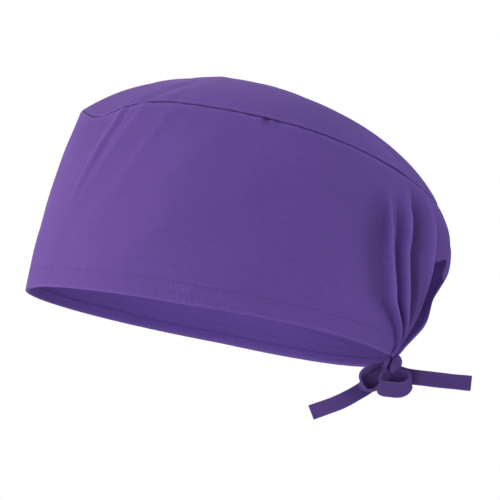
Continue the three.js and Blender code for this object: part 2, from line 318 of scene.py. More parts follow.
# %% [markdown]
# ## The folds
# At the nape the tie draws the hem together, and the cloth above it falls into folds that fan upwards. Cloth
# simulation could gather it, but the folds would then fall by chance. Here each fold of the picture is a row:
# where it runs, how wide and deep it is, and where it fades. The threads themselves are drawn in towards the
# knot, so the folds converge on it as they do on the real cap.

# %% Folds
GATHER = dict(closed=0.21, height=30.0, to=88.0, free=100.0)
NAPE = dict(edge=17.6, slit=0.3, window_low=15.0, window_high=56.0, window_share=0.60)
WINDOW_ARCH = dict(height=0.06, slope=1.6)
FOLD_FADE = 28.0
HEM_FOLD = dict(share=0.45, height=30.0)
# Width and start of the painted highlight along the fold crests
CREST_HIGHLIGHT = dict(width=0.5, low=12, fade=20)
CROWN_FOLD = dict(past_seam=0.06, fade=0.12, least_r=0.3)
LEAN_FROM = 50.0
# A gathered fold is steep on one side and long on the other, so each row has two widths. `lean` is how many
# degrees it drifts away from the nape for each millimetre above LEAN_FROM.
# name, at (degrees of cloth), width towards the nape, width away from it, height, low and high ends, lean
SIDE_FOLDS = [
    ("edge ridge left", 19.0, 0.9, 1.8, 2.4, -20, 100, 0.14),
    ("deep valley left", 28.4, 5.0, 1.5, -6.0, -14, 96, 0.12),
    ("middle ridge left", 32.4, 0.8, 1.8, 2.6, -18, 94, 0.10),
    ("narrow valley left", 36.0, 2.2, 0.9, -3.8, -16, 90, 0.13),
    ("outer ridge left", 39.0, 0.7, 1.6, 2.6, -18, 92, 0.16),
    ("broad valley left", 42.8, 1.9, 5.6, -3.4, -14, 92, 0.10),
    ("flank crease left", 23.6, 0.7, 1.1, 0.9, -20, 66, 0.12),
    ("edge hollow left", 18.0, 3.5, 3.5, -3.4, -12, 58, 0.0),
    ("edge ridge right", -20, 5.0, 5.0, 6.7, 12, 98, 0.0),
    ("edge hollow right", -19, 8.0, 8.0, -7.0, 18, 62, 0.0),
    ("deep valley right", -29, 4.8, 2.4, -4.4, -12, 90, 0.0),
    ("middle ridge right", -34.5, 1.8, 3.2, 2.2, -16, 80, 0.0),
    ("outer valley right", -42, 5.0, 2.6, -2.6, -12, 80, 0.0),
    ("low lobe right", -20, 9.0, 9.0, 4.5, -10, 34, 0.0),
]
# Folds of the brow fall aslant: `lean` is how many degrees they drift for each millimetre downwards.
# name, at (degrees, at the seam), width, height, low, high, lean
BROW_FOLDS = [
    ("brow ridge left", 130.6, 1.2, 1.1, 40, 124, 0.18),
    ("brow hollow left", 128.2, 1.4, -0.7, 50, 124, 0.18),
    ("temple ridge left", 121.5, 1.2, 0.75, 50, 124, 0.25),
    ("second temple ridge left", 111, 1.3, 0.55, 50, 126, 0.2),
    ("brow ridge right", -133, 4.0, 1.4, 52, 118, 0.15),
    ("brow hollow right", -140, 5.0, -1.2, 60, 122, 0.12),
    ("temple ridge right", -121, 3.6, 0.8, 60, 124, 0.18),
]
# name, at (degrees), width, height, reach (share of the way in), lean (degrees towards the middle)
CROWN_FOLDS = [
    ("front fold left", 134, 2.8, 1.0, 0.62, -28),
    ("front hollow left", 141, 4.0, -0.5, 0.5, -20),
    ("temple fold left", 118, 2.8, 0.9, 0.5, -16),
    ("temple hollow left", 123.5, 3.4, -0.7, 0.5, -18),
    ("front fold right", -134, 6.0, 1.1, 0.6, 22),
    ("front hollow right", -142, 6.0, -1.1, 0.5, 18),
    ("back fold left", 40, 8.0, 0.9, 0.4, 8),
    ("back hollow left", 30, 6.0, -0.6, 0.35, 6),
    ("back fold right", -42, 8.0, 0.9, 0.4, -8),
]


def drawn_in(cloth, z):
    """Where a thread that belongs at `cloth` degrees lies at the height z."""
    away = np.abs(cloth)
    open_share = smooth((z - NAPE["window_low"]) / (NAPE["window_high"] - NAPE["window_low"]))
    edge = lerp(NAPE["slit"], NAPE["edge"], open_share)
    closed = lerp(GATHER["closed"], 1, smooth(z / GATHER["height"]))
    last = closed * GATHER["to"]
    gathered = lerp(edge, last, (away - NAPE["edge"]) / (GATHER["to"] - NAPE["edge"]))
    easing = lerp(last, GATHER["free"], (away - GATHER["to"]) / (GATHER["free"] - GATHER["to"]))
    angle = np.where(away < NAPE["edge"], away * edge / NAPE["edge"], gathered)
    angle = np.where(away >= GATHER["to"], easing, angle)
    return np.sign(cloth) * np.where(away > GATHER["free"], away, angle)


def fold_fade(z, low, high):
    """1 along a fold, falling to 0 at its two ends."""
    return smooth((z - low) / FOLD_FADE) * smooth((high - z) / FOLD_FADE)


def side_fold(cloth, z, seam_z):
    """How far the side's folds stand out."""
    out = np.zeros_like(cloth)
    for _, at, near_width, far_width, height, low, high, lean in SIDE_FOLDS:
        away = (cloth - at) * np.sign(at) - lean * np.maximum(z - LEAN_FROM, 0)
        width = np.where(away < 0, near_width, far_width)
        out += height * fold_fade(z, low, high) * bell(away / width)
    out *= lerp(HEM_FOLD["share"], 1, smooth(z / HEM_FOLD["height"]))
    for _, at, width, height, low, high, lean in BROW_FOLDS:
        line = at + np.sign(at) * lean * (seam_z - z)
        out += height * fold_fade(z, low, high) * bell((cloth - line) / width)
    return out


def crest_highlight(cloth, z):
    """1 along the very crest of each fold of the near side, where a painted highlight goes."""
    line = np.zeros_like(cloth)
    for name, at, _, _, _, _, high, lean in SIDE_FOLDS:
        if name.endswith("ridge left"):
            away = cloth - at - lean * np.maximum(z - LEAN_FROM, 0)
            start = smooth((z - CREST_HIGHLIGHT["low"]) / CREST_HIGHLIGHT["fade"])
            line += bell(away / CREST_HIGHLIGHT["width"]) * start * smooth((high - z) / FOLD_FADE)
    return line


def crown_fold(angle, r):
    """How far the crown's folds stand out."""
    out = np.zeros_like(angle)
    for _, at, width, height, reach, lean in CROWN_FOLDS:
        line = at + lean * (1 - r) / reach
        start = smooth((1 - r + CROWN_FOLD["past_seam"]) / CROWN_FOLD["fade"])
        fade = start * smooth((r - 1 + reach) / reach)
        spread = width / np.maximum(r, CROWN_FOLD["least_r"])
        out += height * fade * bell((angle - line) / spread)
    return out


print("rows of folds: nape", len(SIDE_FOLDS), "brow", len(BROW_FOLDS), "crown", len(CROWN_FOLDS))

# %% [markdown]
# ## Small shapes of sewn cloth
# Three small things tell the eye that this is sewn cloth. The surface is never quite even, so slow waves run
# through it. The edges roll into the seam and make a groove, and painted shade along it darkens the line.
# Stitches draw the cloth into little puckers along the seam and the hem. Each is a function of the place on
# the cloth, added to the folds.

# %% Waves, seam roll and puckers
CLOTH = dict(thickness=0.9, hem_extra=1.1, felled_extra=0.5, seam_roll=0.5, seam_depth=0.6)
HEM = dict(height=10.5, inner_height=5.8, groove=0.09, groove_width=0.5, puff=0.05)
PUCKER = dict(seam=0.34, hem=0.10, reach=6.0, spacing=4.1, radius=90)
# Waves of unlike lengths, so that no two puckers are alike
UNEVEN = dict(mean=0.55, swing=0.45, quick=3.1, start=1.3, slow=0.37)
RIPPLE = dict(length=2.3, wander=1.7, pace=0.9)
# Two places where the seam's thread is pulled tight: at (degrees), depth (mm)
NOTCHES = [(86.2, 1.4), (83.3, 0.6)]
NOTCH = dict(width=0.7, below_seam=1.0, height=2.2)
# Degrees that a row's puckers are moved on, so that no two rows are alike
PUCKER_SHIFT = dict(hem=3, crown=1)
WANDER = dict(size=0.8, pace=0.5, drift=1.7)
WAVES = [
    dict(size=0.55, across=4.0, along=0.020, phase=0.7),
    dict(size=0.35, across=9.0, along=0.045, phase=2.1),
    dict(size=0.18, across=21.0, along=0.060, phase=4.0),
]


def slow_waves(angle, height):
    """Uneven cloth: a few slow waves that drift with height."""
    out = np.zeros_like(angle)
    for wave in WAVES:
        turn = np.radians(angle) * wave["across"] + height * wave["along"] + wave["phase"]
        drift = height * wave["along"] * WANDER["drift"]
        out += wave["size"] * np.sin(turn + WANDER["size"] * np.sin(WANDER["pace"] * turn + drift))
    return out


def pucker(angle, distance, size):
    """Little puckers that fade with the distance from a row of stitches."""
    pitch = np.radians(angle) * PUCKER["radius"] / PUCKER["spacing"]
    uneven = UNEVEN["swing"] * np.sin(UNEVEN["quick"] * pitch + UNEVEN["start"])
    uneven = UNEVEN["mean"] + uneven * np.sin(UNEVEN["slow"] * pitch)
    wander = RIPPLE["wander"] * np.sin(RIPPLE["pace"] * pitch)
    ripple = np.sin(2 * np.pi * pitch / RIPPLE["length"] + wander)
    return size * uneven * ripple * np.exp(-distance / PUCKER["reach"])


def notch(angle, distance):
    """The small tight places just below the seam."""
    beside = bell((distance - NOTCH["below_seam"]) / NOTCH["height"])
    return sum(depth * bell((angle - at) / NOTCH["width"]) * beside for at, depth in NOTCHES)


def seam_roll(distance):
    """How far an edge has rolled in at this distance from the seam."""
    share = np.clip(1 - distance / CLOTH["seam_roll"], 0, 1)
    return CLOTH["seam_depth"] * (1 - np.sqrt(1 - share ** 2))


print("cloth", CLOTH["thickness"], "mm, hem", HEM["height"], "mm high")

# %% [markdown]
# ## Helpers for modelling
# Every piece starts as a primitive, gets its form by moving its points, and is finished with modifiers that
# are applied. These helpers keep the cells short: one adds a grid, one moves all points at once, and one
# applies a modifier. A grid is the right start for cloth, because cloth is cut flat and its threads follow
# the grid.

# %% Helpers for points
def deselect():
    """Leaves nothing selected, since operators act on all that is."""
    bpy.ops.object.select_all(action="DESELECT")


def use(piece):
    """Makes one piece the only selected and active one."""
    deselect()
    piece.select_set(True)
    bpy.context.view_layer.objects.active = piece
    return piece


def points(piece):
    """All points of a piece as rows of x, y and z."""
    flat = np.empty(len(piece.data.vertices) * 3)
    piece.data.vertices.foreach_get("co", flat)
    return flat.reshape(-1, 3)


def move_points(piece, places_mm):
    """Puts every point of a piece at its new place, given in millimetres."""
    piece.data.vertices.foreach_set("co", (places_mm * mm).ravel())
    piece.data.update()


def add_grid(name, columns, rows):
    """A flat grid whose points run from 0 to 1 both ways."""
    deselect()
    bpy.ops.mesh.primitive_grid_add(
        x_subdivisions=columns, y_subdivisions=rows, size=1, location=(0.5, 0.5, 0))
    bpy.ops.object.transform_apply(location=True)
    piece = bpy.context.object
    piece.name = piece.data.name = name
    return piece


print("helpers for points ready")

# %% Helpers for finishing
JOIN_WITHIN = 0.02 * mm
SHARP = math.radians(60)
SMOOTH_UNDER = 50
ROUNDED = dict(side=0.3, crown=0.25, tape=0.35)


def join_and_flip(piece):
    """Joins points that lie on each other, and turns the faces outward, so that thickness grows inward."""
    use(piece)
    bpy.ops.object.mode_set(mode="EDIT")
    bpy.ops.mesh.select_all(action="SELECT")
    bpy.ops.mesh.remove_doubles(threshold=JOIN_WITHIN)
    bpy.ops.mesh.flip_normals()
    bpy.ops.object.mode_set(mode="OBJECT")


def finish_with(piece, kind, **settings):
    """Adds a modifier and applies it."""
    use(piece)
    modifier = piece.modifiers.new(kind.lower(), kind)
    for key, value in settings.items():
        setattr(modifier, key, value)
    bpy.ops.object.modifier_apply(modifier=modifier.name)


def thicken(piece, thickness_mm, **settings):
    """Gives an open sheet its thickness, with closed edges."""
    finish_with(piece, "SOLIDIFY", thickness=thickness_mm * mm, use_rim=True, **settings)


def soften_edges(piece, width_mm, segments):
    """Rounds the sharp edges of cut cloth a little."""
    finish_with(piece, "BEVEL", width=width_mm * mm, segments=segments,
                limit_method="ANGLE", angle_limit=SHARP)


def weave_map(piece, across_mm, along_mm):
    """A UV map in centimetres of cloth, so that the weave has one size on every piece."""
    layer = piece.data.uv_layers.active or piece.data.uv_layers.new(name="weave")
    layer.name = "weave"
    corner = np.empty(len(piece.data.loops), dtype=np.int32)
    piece.data.loops.foreach_get("vertex_index", corner)
    layer.data.foreach_set("uv", np.stack([across_mm, along_mm], -1)[corner].ravel() / 10)


def mark(piece, name, values):
    """Keeps one number for each point, for the material."""
    attribute = piece.data.attributes.new(name, "FLOAT", "POINT")
    attribute.data.foreach_set("value", values.astype(np.float32))


def weigh(piece, name, values):
    """Keeps one share for each point, for a modifier."""
    group = piece.vertex_groups.new(name=name)
    shares = np.round(values, 2)
    for step in np.unique(shares):
        group.add(np.flatnonzero(shares == step).tolist(), float(step), "REPLACE")


def smooth_shade(piece, degrees=SMOOTH_UNDER):
    """Shades edges flatter than this angle as smooth cloth."""
    use(piece)
    bpy.ops.object.shade_smooth_by_angle(angle=math.radians(degrees))


def layers_for_two_sides(piece):
    """Two places for materials: the cloth's outside, then its inside."""
    piece.data.materials.append(None)
    piece.data.materials.append(None)


print("helpers for finishing ready")

# %% [markdown]
# ## The side
# On the real cap this is one long strip. Its lower edge is folded up into a hem that the tie runs through,
# and its ends meet at the nape. It is a grid bent round the head, with its columns close together in the
# gathers. Below the window the ends stay apart, so the faces between them are deleted, and the front edges
# are joined. The top rows pass under the crown's edge, as a seam allowance does.

# %% Side: where the rows and columns of the grid lie
SIDE_GRID = dict(columns=480, rows=84)
ROWS_UP_TO = dict(hem=14, window=56, shoulder=70, seam=78)
ROW_SHARE = {name: rows / SIDE_GRID["rows"] for name, rows in ROWS_UP_TO.items()}
# share of the columns, degrees of cloth
COLUMN_KNOTS = [(0.0, 0.0), (0.08, NAPE["edge"]), (0.45, 58.0), (1.0, 180.0)]
# share of the rows, share of the height
ROW_KNOTS = [
    (0.0, 0.0),
    (ROW_SHARE["hem"], 0.125),
    (ROW_SHARE["window"], NAPE["window_share"]),
    (ROW_SHARE["shoulder"], 0.972),
    (ROW_SHARE["seam"], 1.0),
    (1.0, 1.0),
]
ALLOWANCE = dict(width=0.07, below=1.2)
BLEND = dict(seam=3, waves=25, below_rim=4)
TINY = 1e-4
CUT_SLACK = dict(angle=0.01, share=0.001)


def from_knots(x, knots):
    """Reads a value off a table of knots."""
    return np.interp(x, [k[0] for k in knots], [k[1] for k in knots])


def height_shares(row, cloth):
    """Shares of the side's height for rows of the grid. The window's top edge is a low arch."""
    t = from_knots(row, ROW_KNOTS)
    tent = from_knots(row, [(ROW_SHARE["hem"], 0), (ROW_SHARE["window"], 1), (ROW_SHARE["shoulder"], 0)])
    inside = smooth(WINDOW_ARCH["slope"] * (1 - np.abs(cloth) / NAPE["edge"]))
    return t + WINDOW_ARCH["height"] * tent * inside


def even_facing(own_facing, angle, to_seam):
    """A piece's own facing, which turns into the seam's facing close to the seam."""
    near_seam = smooth(1 - to_seam / BLEND["seam"])[:, None]
    return unit(own_facing * (1 - near_seam) + seam_facing(angle) * near_seam)


def side_surface(cloth, t):
    """The outside of the side at a place of the cloth: point, facing, height, fold, distance to the seam."""
    seam_z = seam_at(cloth)[:, 2]
    z = seam_z * t
    angle = drawn_in(cloth, z)
    to_seam = (1 - t) * seam_z
    to_hem = np.abs(z - HEM["height"])
    normal = even_facing(side_facing(angle, t), angle, to_seam)
    fold = side_fold(cloth, z, seam_z)
    small = slow_waves(cloth, z) * smooth(to_seam / BLEND["waves"])
    small = small * smooth((z + BLEND["below_rim"]) / BLEND["waves"])
    small += pucker(cloth, to_seam, PUCKER["seam"])
    small += pucker(cloth + PUCKER_SHIFT["hem"], to_hem, PUCKER["hem"])
    small -= notch(cloth, to_seam)
    hem = HEM["puff"] * np.sin(np.pi * np.clip(z / HEM["height"], 0, 1))
    hem -= HEM["groove"] * bell((z - HEM["height"]) / HEM["groove_width"])
    place = side_at(angle, t) + normal * (fold + small + hem - seam_roll(to_seam))[:, None]
    return place, normal, z, fold, to_seam


print("side grid:", SIDE_GRID["columns"], "columns and", SIDE_GRID["rows"], "rows")

# %% Side: bend the grid, cut the nape and give it thickness
# Places painted darker as shade: at (degrees), width, height above the rim, spread, darkening
PAINTED_SHADE_PLACES = [
    ("far edge of the window", -16, 5, 44, 15, -0.8),
    ("hollow beside the forehead", 143, 12, 92, 16, -0.16),
]
# Painted highlight on ridges and crests, painted shade in valleys and notches, and wear at the rim
SIDE_WEAR_AND_PAINTED_LIGHT = dict(ridge=0.3, valley=0.18, least=-0.8, most=0.6, rim=0.5, rim_width=1.2, notch=-0.8, crest=0.35)
# Wear just beside the seam, and painted shade along its groove
SEAM_WEAR_AND_SHADE = dict(worn=0.3, at=1.5, width=1.0, line=-0.35, line_width=0.4)
# Painted shade along the hem's groove
HEM_PAINTED_SHADE = dict(line=-0.2, line_width=0.4)
FELLED = dict(low=1.5, high=7)
SIDE_RADIUS = 93


def shape_side(piece):
    """Bends the flat grid to the side. Gives cloth angle, height, fold and distance to the seam."""
    flat = points(piece)
    x = flat[:, 0] * 2 - 1
    cloth = np.sign(x) * from_knots(np.abs(x), COLUMN_KNOTS)
    place, _, z, fold, to_seam = side_surface(cloth, height_shares(flat[:, 1], cloth))
    share = (flat[:, 1] - ROW_SHARE["seam"]) / (1 - ROW_SHARE["seam"])
    under = share > TINY
    angle = drawn_in(cloth[under], z[under])
    r = 1 - ALLOWANCE["width"] * share[under]
    place[under] = crown_at(angle, r) - crown_facing(angle, r) * ALLOWANCE["below"]
    move_points(piece, place)
    return cloth, z, fold, to_seam


def cut_nape(piece, cloth, z_row):
    """Deletes the faces between the two ends of the strip, up to the window's top edge."""
    use(piece)
    bpy.ops.object.mode_set(mode="EDIT")
    bpy.ops.mesh.select_mode(type="FACE")
    bpy.ops.mesh.select_all(action="DESELECT")
    bpy.ops.object.mode_set(mode="OBJECT")
    for face in piece.data.polygons:
        corners = list(face.vertices)
        between = np.abs(cloth[corners]).max() < NAPE["edge"] + CUT_SLACK["angle"]
        below = z_row[corners].max() < NAPE["window_share"] + CUT_SLACK["share"]
        face.select = bool(between and below)
    bpy.ops.object.mode_set(mode="EDIT")
    bpy.ops.mesh.delete(type="FACE")
    bpy.ops.object.mode_set(mode="OBJECT")


def side_wear_and_painted_light(cloth, z, fold, to_seam):
    """Wear and painted highlight on the side (above zero), and painted shade (below zero)."""
    # Painted highlight on the folds' ridges and painted shade in their valleys
    wear_and_painted_light = np.clip(np.where(fold > 0, fold * SIDE_WEAR_AND_PAINTED_LIGHT["ridge"], fold * SIDE_WEAR_AND_PAINTED_LIGHT["valley"]), SIDE_WEAR_AND_PAINTED_LIGHT["least"], SIDE_WEAR_AND_PAINTED_LIGHT["most"])
    wear_and_painted_light = wear_and_painted_light + SIDE_WEAR_AND_PAINTED_LIGHT["rim"] * bell(z / SIDE_WEAR_AND_PAINTED_LIGHT["rim_width"])
    wear_and_painted_light = wear_and_painted_light + SEAM_WEAR_AND_SHADE["worn"] * bell((to_seam - SEAM_WEAR_AND_SHADE["at"]) / SEAM_WEAR_AND_SHADE["width"])
    # Painted shade in the tight places below the seam
    wear_and_painted_light = wear_and_painted_light + SIDE_WEAR_AND_PAINTED_LIGHT["notch"] * notch(cloth, to_seam)
    # Painted shade at the listed places
    for _, at, width, height, spread, depth in PAINTED_SHADE_PLACES:
        wear_and_painted_light = wear_and_painted_light + depth * bell((cloth - at) / width) * bell((z - height) / spread)
    # Painted highlight along the fold crests
    wear_and_painted_light = wear_and_painted_light + SIDE_WEAR_AND_PAINTED_LIGHT["crest"] * crest_highlight(cloth, z)
    # Painted shade along the seam's groove
    wear_and_painted_light = wear_and_painted_light + SEAM_WEAR_AND_SHADE["line"] * bell(to_seam / SEAM_WEAR_AND_SHADE["line_width"])
    # Painted shade along the hem's groove
    return wear_and_painted_light + HEM_PAINTED_SHADE["line"] * bell((z - HEM["height"]) / HEM_PAINTED_SHADE["line_width"])


def make_side():
    piece = add_grid("side_cloth", SIDE_GRID["columns"], SIDE_GRID["rows"])
    flat_rows = from_knots(points(piece)[:, 1], ROW_KNOTS)
    cloth, z, fold, to_seam = shape_side(piece)
    weave_map(piece, np.radians(cloth) * SIDE_RADIUS, z)
    mark(piece, "wear_and_painted_light", side_wear_and_painted_light(cloth, z, fold, to_seam))
    thick = CLOTH["thickness"] + CLOTH["hem_extra"] * (z < HEM["inner_height"])
    thick = thick + CLOTH["felled_extra"] * ((to_seam < FELLED["high"]) & (to_seam > FELLED["low"]))
    most = CLOTH["thickness"] + CLOTH["hem_extra"]
    weigh(piece, "thick", thick / most)
    cut_nape(piece, cloth, flat_rows)
    join_and_flip(piece)
    layers_for_two_sides(piece)
    thicken(piece, most, offset=-1, vertex_group="thick", material_offset=1)
    soften_edges(piece, ROUNDED["side"], segments=2)
    smooth_shade(piece)
    return piece


side_cloth = make_side()
print("side:", len(side_cloth.data.polygons), "faces")

# %% [markdown]
# ## The crown
# The top is an oval of cloth, eased into the seam. The same kind of grid is wound round the middle of the
# crown: its columns go round the head and its rows run from the seam to the middle, where they meet in one
# point. A square grid would have no such point, but its edge would not follow the seam.

# %% Crown: a grid wound round its middle
CROWN_GRID = dict(columns=300, rows=60, crowding=1.25)
CROWN_WAVES = dict(share=0.8, still_r=0.12, spread=0.5)
CROWN_LIP = dict(height=0.35, width=1.5, towards_r=0.985)
# Painted highlight on the crown's fold ridges, painted shade in its hollows and along the seam's groove
CROWN_PAINTED_LIGHT = dict(fold=0.4, least=-0.3, most=0.5, line=-0.5)


def shape_crown(piece):
    """Winds the flat grid round the crown's middle and marks its wear, painted highlight and painted shade.
    """
    flat = points(piece)
    angle = flat[:, 0] * 360 - 180
    r = np.cos(np.pi / 2 * flat[:, 1] ** CROWN_GRID["crowding"])
    edge = seam_at(angle)
    reach = np.hypot(edge[:, 0], edge[:, 1] - CROWN["centre_y"])
    bare = crown_at(angle, r)
    to_seam = np.linalg.norm(bare - edge, axis=1)
    normal = even_facing(crown_facing(angle, r), angle, to_seam)
    fold = crown_fold(angle, r)
    small = slow_waves(angle, reach * r) * smooth(to_seam / BLEND["waves"])
    small = small * smooth((r - CROWN_WAVES["still_r"]) / CROWN_WAVES["spread"]) * CROWN_WAVES["share"]
    small += pucker(angle + PUCKER_SHIFT["crown"], to_seam, PUCKER["seam"])
    place = bare + normal * (fold + small - seam_roll(to_seam))[:, None]
    inward = unit(crown_at(angle, np.full_like(r, CROWN_LIP["towards_r"])) - edge)
    lip = inward * (CROWN_LIP["height"] * bell(to_seam / CROWN_LIP["width"]))[:, None]
    place[flat[:, 1] > 1 - TINY] = (0, CROWN["centre_y"], CROWN["top"])
    move_points(piece, place + lip)
    weave_map(piece, place[:, 0], place[:, 1])
    # Painted highlight on ridges and painted shade in hollows, wear beside the seam, painted shade in the
    # seam's groove
    wear_and_painted_light = np.clip(fold * CROWN_PAINTED_LIGHT["fold"], CROWN_PAINTED_LIGHT["least"], CROWN_PAINTED_LIGHT["most"])
    wear_and_painted_light = wear_and_painted_light + SEAM_WEAR_AND_SHADE["worn"] * bell((to_seam - SEAM_WEAR_AND_SHADE["at"]) / SEAM_WEAR_AND_SHADE["width"])
    mark(piece, "wear_and_painted_light", wear_and_painted_light + CROWN_PAINTED_LIGHT["line"] * bell(to_seam / SEAM_WEAR_AND_SHADE["line_width"]))


def make_crown():
    piece = add_grid("crown_cloth", CROWN_GRID["columns"], CROWN_GRID["rows"])
    shape_crown(piece)
    join_and_flip(piece)
    layers_for_two_sides(piece)
    thicken(piece, CLOTH["thickness"], offset=-1, material_offset=1)
    soften_edges(piece, ROUNDED["crown"], segments=2)
    smooth_shade(piece)
    return piece


crown_cloth = make_crown()
print("crown:", len(crown_cloth.data.polygons), "faces")

# %% [markdown]
# ## The stitches
# The hem is held by one row of stitches, and the seam shows its thread in the groove. A bump in the material
# could fake them, but real threads catch the light in close views. One stitch is a small sphere drawn out
# into a grain, and it is copied along each row, following the cloth.

# %% Stitches
STITCH = dict(length=1.9, pitch=3.1, thick=0.36, sunk=0.06, look_ahead=0.5)
HEM_ROW = dict(first=14.2, points=900)
SEAM_ROW = dict(points=1800, sunk=0.75)
CRISP = 80


def one_stitch():
    """Points and faces of one stitch, a grain along X, in millimetres."""
    deselect()
    bpy.ops.mesh.primitive_uv_sphere_add(
        segments=6, ring_count=5, radius=0.5, rotation=(0, math.pi / 2, 0))
    bpy.ops.object.transform_apply(rotation=True)
    grain = bpy.context.object
    shape = points(grain) * (STITCH["length"], STITCH["thick"], STITCH["thick"])
    faces = [tuple(face.vertices) for face in grain.data.polygons]
    bpy.data.objects.remove(grain)
    return shape, faces


def read_row(row, length, at):
    """The point or the direction at one place along a row."""
    return np.array([np.interp(at, length, row[:, axis]) for axis in range(3)])


def sew(name, row, normals):
    """One piece of thread: stitches set end to end along a row of points, lying on the cloth."""
    shape, faces = one_stitch()
    steps = np.linalg.norm(np.diff(row, axis=0), axis=1)
    length = np.concatenate([[0], np.cumsum(steps)])
    starts = np.arange(STITCH["pitch"], length[-1] - STITCH["pitch"], STITCH["pitch"])
    all_points, all_faces = [], []
    for i, start in enumerate(starts):
        centre = read_row(row, length, start)
        along = unit(read_row(row, length, start + STITCH["look_ahead"]) - centre)
        out = unit(read_row(normals, length, start))
        across = np.cross(out, along)
        turned = shape[:, :1] * along + shape[:, 1:2] * across + shape[:, 2:] * np.cross(along, across)
        all_points.append(centre - out * STITCH["sunk"] + turned)
        all_faces += [tuple(v + i * len(shape) for v in face) for face in faces]
    mesh = bpy.data.meshes.new(name)
    mesh.from_pydata((np.concatenate(all_points) * mm).tolist(), [], all_faces)
    piece = bpy.data.objects.new(name, mesh)
    bpy.context.scene.collection.objects.link(piece)
    smooth_shade(piece, CRISP)
    print(name, len(starts), "stitches")
    return piece


def hem_row():
    """The line of the hem's stitches on the outside of the cloth."""
    left = np.linspace(HEM_ROW["first"], 180, HEM_ROW["points"])
    right = np.linspace(-180, -HEM_ROW["first"], HEM_ROW["points"])
    cloth = np.concatenate([left, right])
    place, normal, *_ = side_surface(cloth, HEM["height"] / seam_at(cloth)[:, 2])
    return place, normal


def seam_row():
    """The thread in the groove between side and crown."""
    angle = np.linspace(-180, 180, SEAM_ROW["points"])
    normal = seam_facing(angle)
    return seam_at(angle) - normal * (CLOTH["seam_depth"] * SEAM_ROW["sunk"]), normal


hem_stitches = sew("hem_stitches", *hem_row())
seam_stitches = sew("seam_stitches", *seam_row())

# %% [markdown]
# ## The ties
# The tapes are strips of the same cloth, folded and stitched flat. Each is a grid laid along its route. The
# flat side of the tape turns as the route does, so each point of the route says which way the tape faces.
# The routes are those of the frame's solids, and the two loops run on into the knot.

# %% Ties: routes
# x, y, z and the way that the flat side faces
TIE_ROUTES = {
    "tie_loop_left": [
        (3.4, 104.9, -4.3, -0.5, -0.4, 0.7),
        (3.6, 99.8, -4.5, -0.4, -0.5, 0.76),
        (4.0, 95.6, -7.7, -0.4, -0.6, 0.7),
        (4.0, 92.6, -11.8, -0.3, -0.9, 0.3),
        (3.4, 92.6, -16.1, 0.2, -0.95, -0.2),
        (2.6, 95.4, -18.9, 0.1, -0.3, -0.95),
        (2.2, 100.1, -18.2, 0, 0.2, -1),
        (2.6, 103.3, -14.2, -0.1, 0.5, -0.85),
        (3.0, 105.7, -9.0, -0.2, 0.7, -0.7),
    ],
    "tie_loop_right": [
        (6.6, 106.8, -7.5, -0.6, -0.5, 0.6),
        (7.8, 103.9, -11.6, -0.4, -0.8, 0.3),
        (9.6, 103.1, -15.4, 0.2, -0.95, -0.2),
        (11.2, 105.5, -17.4, 0.85, -0.5, -0.25),
        (11.8, 109.7, -17.3, 0.97, -0.05, -0.2),
        (11.2, 114.9, -16.5, 0.9, 0.2, -0.4),
        (9.8, 118.6, -13.8, 0.6, 0.7, -0.3),
        (7.6, 119.7, -10.0, 0.1, 0.95, 0.1),
        (5.4, 116.8, -8.4, -0.7, 0.5, 0.4),
        (4.2, 112.9, -8.8, -0.9, 0.1, 0.4),
        (3.8, 108.4, -8.3, -0.9, -0.1, 0.4),
        (3.6, 104.6, -9.8, -0.9, -0.1, 0.4),
    ],
    "tie_tail_left": [
        (-1.0, 104.0, -6.5, 1, 0, 0),
        (-3.4, 99.7, -11.9, 1, 0, 0),
        (-2.6, 92.9, -19.2, 1, 0, 0.1),
        (0.4, 82.5, -28.2, 1, 0, 0.1),
        (2.4, 67.9, -37.3, 1, 0, 0.1),
    ],
    "tie_tail_right": [
        (-0.6, 110.1, -5.7, 1, 0, 0),
        (-1.6, 116.5, -6.7, 1, 0, 0),
        (-1.2, 127.2, -6.2, 1, 0, 0),
        (-0.4, 140.1, -5.4, 1, 0, 0.1),
        (0.6, 152.7, -4.4, 1, 0, 0.1),
    ],
}

print("routes:", ", ".join(TIE_ROUTES))

# %% Ties: tape
TAPE_GRID = dict(columns=90, rows=14)
TAPE = dict(width=8.6, thickness=1.2, edge_line=3.2, edge_groove=0.12, groove_width=0.35)
SQUEEZE = dict(share=0.16, reach=5.0)
CURL = dict(size=0.18, pace=0.45, slant=0.5, hollow=0.012, sunk=0.1)
# Wear along the tapes' edges, and painted shade on the tapes near the knot
TAPE_WEAR_AND_SHADE = dict(edge=0.5, edge_width=0.5, knot=-0.55, knot_reach=12)
ROUTE_STEP = 0.004


def along_route(table, share):
    """A smooth curve through the rows of a table, at shares from 0 to 1."""
    table = np.array(table, float)
    spans = len(table) - 1
    at = np.clip(share * spans, 0, spans - 1e-6)
    i = at.astype(int)
    u = (at - i)[:, None]
    ends = np.vstack([2 * table[0] - table[1], table, 2 * table[-1] - table[-2]])
    a, b, c, d = (ends[i + k] for k in range(4))
    first, second, third = c - a, 2 * a - 5 * b + 4 * c - d, 3 * b - a - 3 * c + d
    return 0.5 * (2 * b + first * u + second * u ** 2 + third * u ** 3)


def route_length(table, steps=400):
    line = along_route(table, np.linspace(0, 1, steps))[:, :3]
    return np.linalg.norm(np.diff(line, axis=0), axis=1).sum()


